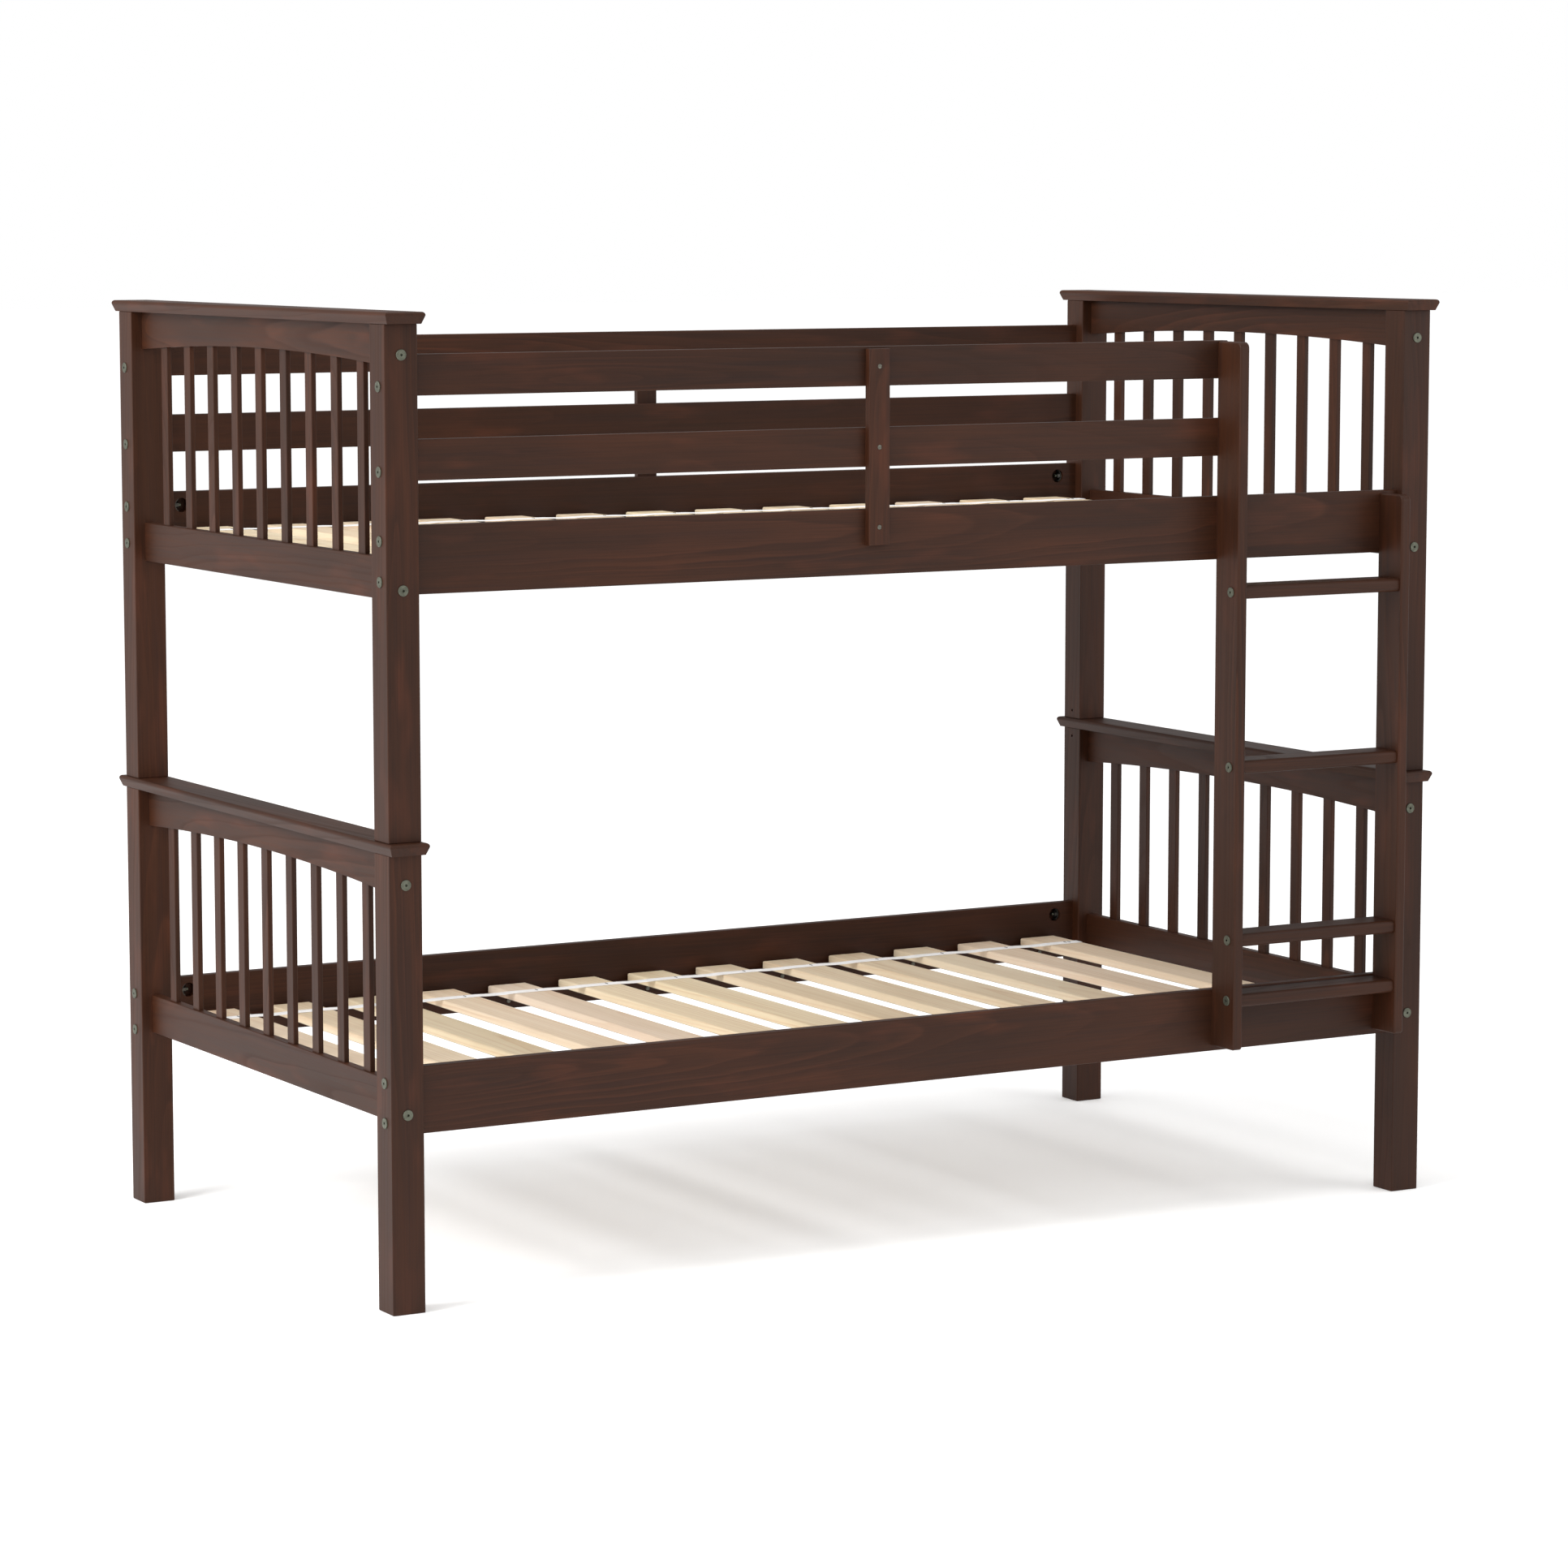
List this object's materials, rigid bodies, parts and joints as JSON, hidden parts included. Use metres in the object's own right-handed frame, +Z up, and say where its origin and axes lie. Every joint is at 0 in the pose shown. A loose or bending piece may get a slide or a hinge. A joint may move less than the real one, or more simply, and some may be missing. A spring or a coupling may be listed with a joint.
{
  "type": "bunk bed with ladder",
  "caption": "Bunk bed in dark stained wood: arched spindle end panels, slat decks, guard rails and a straight ladder at one end of the front.",
  "frame": {"origin": "bottom centre of the bounding box, on the floor", "axes": "+X along the bed towards the end with the ladder, +Y across the bed from the ladder side to the back, +Z up"},
  "size_m": [2.042, 1.144, 1.59],
  "materials": {
    "stained_pine": "dark walnut stain, satin lacquer",
    "natural_pine": "planed, unfinished",
    "dowel_wood": "plain beech",
    "zinc_steel": "zinc plated, satin",
    "staple_steel": "bare wire",
    "webbing": "white woven polyester webbing"
  },
  "bodies": {
    "lower_bed": {"locating_pins": "zinc_steel", "lower_barrel_nuts": "zinc_steel", "lower_cap_left": "stained_pine", "lower_cap_right": "stained_pine", "lower_dowels": "dowel_wood", "lower_end_bottom_rail_left": "stained_pine", "lower_end_bottom_rail_right": "stained_pine", "lower_end_top_rail_left": "stained_pine", "lower_end_top_rail_right": "stained_pine", "lower_frame_bolts": "zinc_steel", "lower_half_moon_nuts": "zinc_steel", "lower_ledger_screws": "zinc_steel", "lower_ledgers": "stained_pine", "lower_post_back_left": "stained_pine", "lower_post_back_right": "stained_pine", "lower_post_front_left": "stained_pine", "lower_post_front_right": "stained_pine", "lower_side_rail_back": "stained_pine", "lower_side_rail_front": "stained_pine", "lower_spindles_left": "stained_pine", "lower_spindles_right": "stained_pine"},
    "lower_slat_deck": {"lower_slats": "natural_pine", "lower_straps": "webbing", "lower_staples": "staple_steel"},
    "upper_bed": {"back_batten": "stained_pine", "back_guard_rail_lower": "stained_pine", "back_guard_rail_upper": "stained_pine", "batten_screws": "zinc_steel", "front_batten": "stained_pine", "front_guard_rail_lower": "stained_pine", "front_guard_rail_upper": "stained_pine", "ladder_rungs": "stained_pine", "ladder_screws": "zinc_steel", "ladder_stile_left": "stained_pine", "ladder_stile_right": "stained_pine", "rung_bolts": "zinc_steel", "upper_barrel_nuts": "zinc_steel", "upper_cap_left": "stained_pine", "upper_cap_right": "stained_pine", "upper_dowels": "dowel_wood", "upper_end_bottom_rail_left": "stained_pine", "upper_end_bottom_rail_right": "stained_pine", "upper_end_top_rail_left": "stained_pine", "upper_end_top_rail_right": "stained_pine", "upper_frame_bolts": "zinc_steel", "upper_half_moon_nuts": "zinc_steel", "upper_ledger_screws": "zinc_steel", "upper_ledgers": "stained_pine", "upper_post_back_left": "stained_pine", "upper_post_back_right": "stained_pine", "upper_post_front_left": "stained_pine", "upper_post_front_right": "stained_pine", "upper_side_rail_back": "stained_pine", "upper_side_rail_front": "stained_pine", "upper_spindles_left": "stained_pine", "upper_spindles_right": "stained_pine"},
    "upper_slat_deck": {"upper_slats": "natural_pine", "upper_straps": "webbing", "upper_staples": "staple_steel"}
  },
  "joints": [
    {"name": "upper_bed_lift_off", "type": "slide", "parent": "lower_bed", "child": "upper_bed", "axis": [0, 0, 1], "range_m": [0, 0.3]},
    {"name": "lower_slat_deck_lift_out", "type": "slide", "parent": "lower_bed", "child": "lower_slat_deck", "axis": [0, 0, 1], "range_m": [0, 0.2]},
    {"name": "upper_slat_deck_lift_out", "type": "slide", "parent": "upper_bed", "child": "upper_slat_deck", "axis": [0, 0, 1], "range_m": [0, 0.2]}
  ]
}
